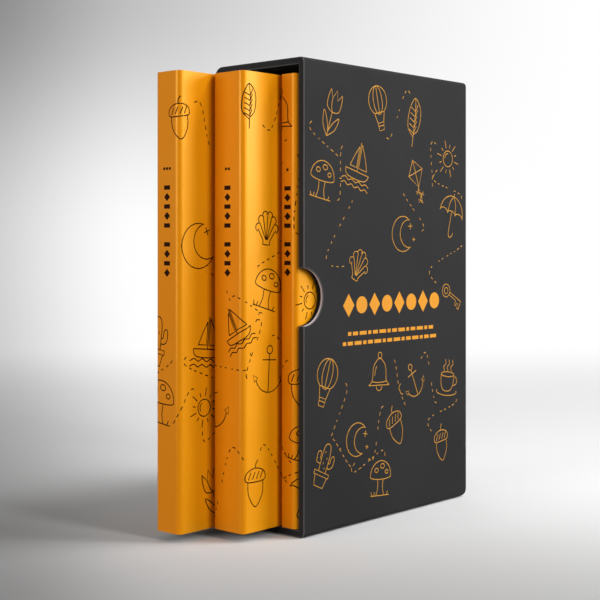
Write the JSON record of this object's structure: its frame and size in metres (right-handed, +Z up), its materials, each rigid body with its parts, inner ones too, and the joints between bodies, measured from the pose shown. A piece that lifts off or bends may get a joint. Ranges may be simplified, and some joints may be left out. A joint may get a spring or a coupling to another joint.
{
  "type": "slipcase with soft-cover books",
  "caption": "Upright rigid board slipcase with a thumb notch, open on its narrow front, holding soft-cover books that slide out by their spines.",
  "frame": {"origin": "middle of the slipcase's underside, on the surface that it stands on", "axes": "+Z up; the mouth of the case and the spines of the books face -Y; the panel with the thumb notch faces +X"},
  "size_m": [0.053, 0.1575, 0.2],
  "materials": {
    "slipcase_wrap": "satin laminated printed wrap",
    "cover_card": "gloss laminated printed card",
    "page_paper": "matte uncoated paper",
    "board_core": "matte cut board",
    "case_print": "satin printed ink",
    "cover_print": "satin printed ink"
  },
  "bodies": {
    "case": {"slipcase": "slipcase_wrap"},
    "book_1": {"book_1_cover": "cover_card", "book_1_pages": "page_paper"},
    "book_2": {"book_2_cover": "cover_card", "book_2_pages": "page_paper"},
    "book_3": {"book_3_cover": "cover_card", "book_3_pages": "page_paper"}
  },
  "joints": [
    {"name": "book_1_slide", "type": "slide", "parent": "case", "child": "book_1", "axis": [0, -1, 0], "range_m": [-0.0027, 0.1118]},
    {"name": "book_2_slide", "type": "slide", "parent": "case", "child": "book_2", "axis": [0, -1, 0], "range_m": [-0.0237, 0.0908]},
    {"name": "book_3_slide", "type": "slide", "parent": "case", "child": "book_3", "axis": [0, -1, 0], "range_m": [-0.0417, 0.0728]}
  ]
}
